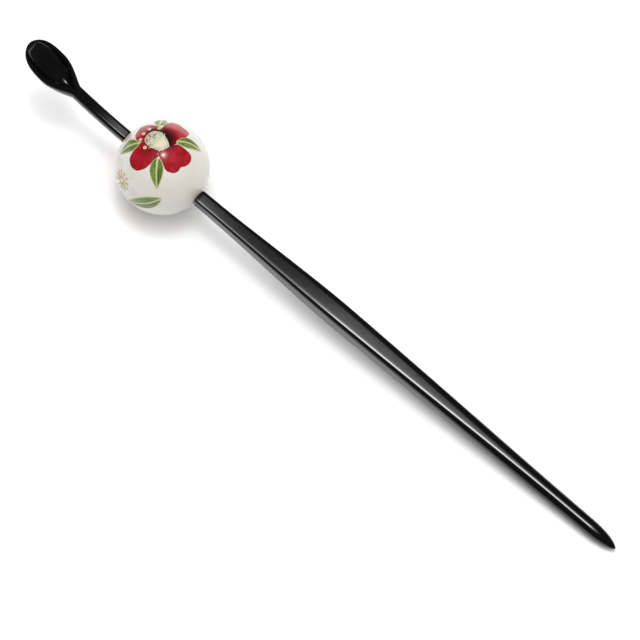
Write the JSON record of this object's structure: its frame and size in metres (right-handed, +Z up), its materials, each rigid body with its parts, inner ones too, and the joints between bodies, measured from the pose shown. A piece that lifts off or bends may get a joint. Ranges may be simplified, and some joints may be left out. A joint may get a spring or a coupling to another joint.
{
  "type": "ball hair stick",
  "caption": "Single-prong hair stick with a curved spoon head, a decorated pearl ball and a long tapered leg that pulls apart inside the ball.",
  "frame": {"origin": "middle of the object's box, on the table it lies on", "axes": "+X towards the leg's tip along the table, +Z up, ball and leg point touching z = 0"},
  "size_m": [0.1625, 0.0202, 0.0201],
  "materials": {
    "black_acrylic": "polished",
    "steel": "drawn",
    "resin": "moulded",
    "pearl": "pearl lacquer",
    "red_enamel": "gloss enamel",
    "green_enamel": "gloss enamel",
    "cream_enamel": "gloss enamel",
    "peach_enamel": "gloss enamel",
    "yellow_enamel": "gloss enamel",
    "white_enamel": "gloss enamel"
  },
  "bodies": {
    "leg": {"leg": "black_acrylic"},
    "head": {"head": "black_acrylic", "core_pin": "steel"},
    "ball": {"ball_core": "resin", "pearl_coat": "pearl", "petal_upper_left": "red_enamel", "petal_upper_right": "red_enamel", "petal_lower_left": "red_enamel", "petal_lower_right": "red_enamel", "stamen_column": "cream_enamel", "anther_dots": "peach_enamel", "leaf_top": "green_enamel", "leaf_left": "green_enamel", "leaf_right": "green_enamel", "leaf_bottom": "green_enamel", "leaf_single": "green_enamel", "low_flower_petals": "red_enamel", "low_flower_stamens": "cream_enamel", "side_flower_petals": "white_enamel", "side_flower_stamens": "yellow_enamel", "back_flower_petals": "white_enamel", "back_flower_stamens": "yellow_enamel", "back_flower_leaves": "green_enamel"}
  },
  "joints": [
    {"name": "head_pull", "type": "slide", "parent": "leg", "child": "head", "axis": [-0.9976, 0, 0.0696], "range_m": [0, 0.012]},
    {"name": "ball_turn", "type": "hinge", "parent": "head", "child": "ball", "pos_m": [-0.04413, 0, 0.01], "axis": [0.9976, 0, -0.0696], "continuous": true}
  ]
}
